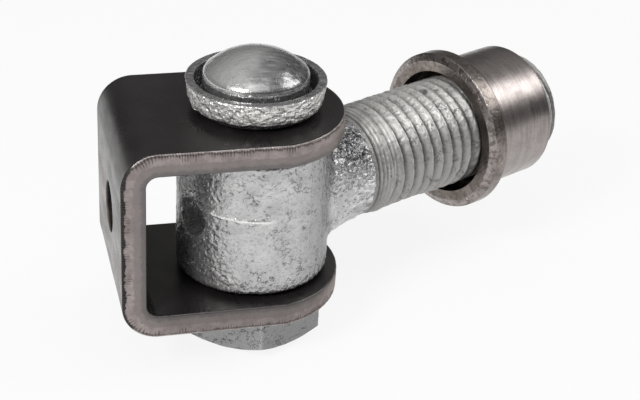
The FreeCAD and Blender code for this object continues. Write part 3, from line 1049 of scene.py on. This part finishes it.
def turned_material():
    """Turned steel with fine rings round the shank's axis, and a rougher collar."""
    s = Shader("turned_steel", on_shank)
    rings = s.noise(0.5 * mm, 3, 0.7, place=s.stretch((0.04, 0.04, 1)))
    bands = s.noise(2.6 * mm, 3, 0.5, place=s.stretch((0.1, 0.1, 1)))
    stain = s.noise(7 * mm, 4, 0.6)
    grain = s.noise(0.45 * mm, 3, 0.6)
    spots = s.noise(1.5 * mm, 3, 0.65)
    collar = s.mark("collar")
    flecks = s.times(collar, s.spread(spots, 0.48, 0.6, 0, 0.7))
    chips = s.times(collar, s.spread(s.noise(0.8 * mm, 2), 0.66, 0.74, 0, 0.9))
    # Darker on the collar's rim and face, and painted shade inside the mouth and bore
    darkened = s.times(s.mark("darkened"), s.spread(s.noise(1.3 * mm, 3, 0.6), 0.3, 0.6, 1, 0.75))
    darkened_colour = s.coats(
        (0.17, 0.147, 0.13),
        (s.spread(stain, 0.4, 0.7), (0.3, 0.262, 0.233)),
        (s.spread(spots, 0.5, 0.62, 0, 0.5), (0.1, 0.085, 0.075)),
    )
    colour = s.coats(
        (0.27, 0.24, 0.232),
        (s.spread(stain, 0.3, 0.7), (0.38, 0.343, 0.33)),
        (s.spread(bands, 0.5, 0.8, 0, 0.15), (0.17, 0.145, 0.135)),
        (s.spread(rings, 0.42, 0.62, 0, 0.35), (0.52, 0.475, 0.45)),
        (s.spread(grain, 0.5, 0.75, 0, 0.5), (0.14, 0.12, 0.11)),
        (flecks, (0.13, 0.107, 0.096)),
        (chips, (0.85, 0.81, 0.78)),
        (darkened, darkened_colour),
    )
    rough = s.plus(grain, s.times(flecks, -1.5))
    s.put(
        s.surface, Base_Color=colour, Metallic=1.0, Roughness=s.spread(bands, 0.3, 0.7, 0.27, 0.34),
        Normal=s.bump(rough, 0.035 * mm, 0.7, Normal=s.bump(rings, 0.04 * mm, 0.8)),
    )
    return s.material


# Stage

def make_floor():
    """A pale floor that looks white in the picture and in the metal, and keeps the shadow."""
    size, level, whiteness = 3.0, pin_tail - 0.2 * mm, 0.88
    mesh = bpy.data.meshes.new("floor")
    corners = [(-size, -size, level), (size, -size, level), (size, size, level), (-size, size, level)]
    mesh.from_pydata(corners, [], [(0, 1, 2, 3)])
    link_object("floor", mesh)
    material = bpy.data.materials.new("floor_white")
    material.use_nodes = True
    s = Nodes(material.node_tree)
    surface = s.put(s.tree.nodes["Principled BSDF"], Base_Color=(0.86, 0.86, 0.86, 1), Roughness=0.9)
    rays = s.new("ShaderNodeLightPath").outputs
    seen = s.math("MAXIMUM", rays["Is Camera Ray"], rays["Is Glossy Ray"])
    seen = s.math("MAXIMUM", seen, rays["Is Transmission Ray"])
    glow = s.new("ShaderNodeEmission")
    mix = s.new("ShaderNodeMixShader")
    s.feed(mix.inputs[0], s.times(seen, whiteness))
    s.feed(mix.inputs[1], surface.outputs[0])
    s.feed(mix.inputs[2], glow.outputs[0])
    s.put(s.tree.nodes["Material Output"], Surface=mix.outputs[0])
    mesh.materials.append(material)


def make_world(horizon, overhead):
    """A soft grey dome that is darker near the horizon, as a studio's walls are."""
    world = bpy.data.worlds.new("studio")
    bpy.context.scene.world = world
    world.use_nodes = True
    s = Nodes(world.node_tree)
    split = s.new("ShaderNodeSeparateXYZ")
    s.put(split, Vector=s.new("ShaderNodeTexCoord").outputs["Generated"])
    height = s.math("POWER", s.math("MAXIMUM", split.outputs["Z"], 0), 1.6)
    strength = s.put(s.new("ShaderNodeMapRange"), Value=height, To_Min=horizon, To_Max=overhead)
    s.put(s.tree.nodes["Background"], Color=(1, 1, 1, 1), Strength=strength.outputs[0])


def make_lamp(name, azimuth, elevation, distance, size, power):
    """A soft square lamp that faces the object. Azimuth 0 is the camera's side, 90 is +X."""
    a, e = math.radians(azimuth), math.radians(elevation)
    back = Vector((math.sin(a) * math.cos(e), -math.cos(a) * math.cos(e), math.sin(e)))
    lamp = bpy.data.lights.new(name, "AREA")
    lamp.size = size
    lamp.energy = power
    holder = link_object(name, lamp)
    holder.location = Vector((0.055, 0.015, 0)) + back * distance
    holder.rotation_euler = (-back).to_track_quat("-Z", "Y").to_euler()


def make_camera():
    """The photograph's viewpoint, found by fitting the object's outlines."""
    azimuth, elevation, roll = (math.radians(a) for a in (-15.207, 28.651, 3.013))
    place = Vector((-0.040153, -0.345841, 0.192953))
    camera = bpy.data.cameras.new("camera")
    camera.sensor_width = 36
    camera.lens = 89.79
    camera.clip_start, camera.clip_end = 0.01, 20
    turn = Euler((math.pi / 2 - elevation, 0, azimuth)).to_matrix() @ Matrix.Rotation(roll, 3, "Z")
    holder = link_object("camera", camera)
    holder.matrix_world = Matrix.Translation(place) @ turn.to_4x4()
    bpy.context.scene.camera = holder


zinc = zinc_material()
pieces = {
    make_bracket: plate_material(),
    make_hinge_pin: zinc,
    make_cup_ring: zinc,
    make_pin_nut: zinc,
    make_forging: zinc,
    make_threaded_shank: zinc,
    make_sleeve: turned_material(),
}
for make, material in pieces.items():
    make().data.materials.append(material)

make_floor()
make_world(0.07, 0.5)
make_lamp("key", -48, 38, 0.8, 0.2, 3.6)
make_lamp("right", 85, 42, 0.8, 0.35, 1.7)
make_lamp("front", -6, 62, 0.9, 0.5, 1.05)
make_camera()

bpy.context.scene.view_settings.view_transform = "Standard"
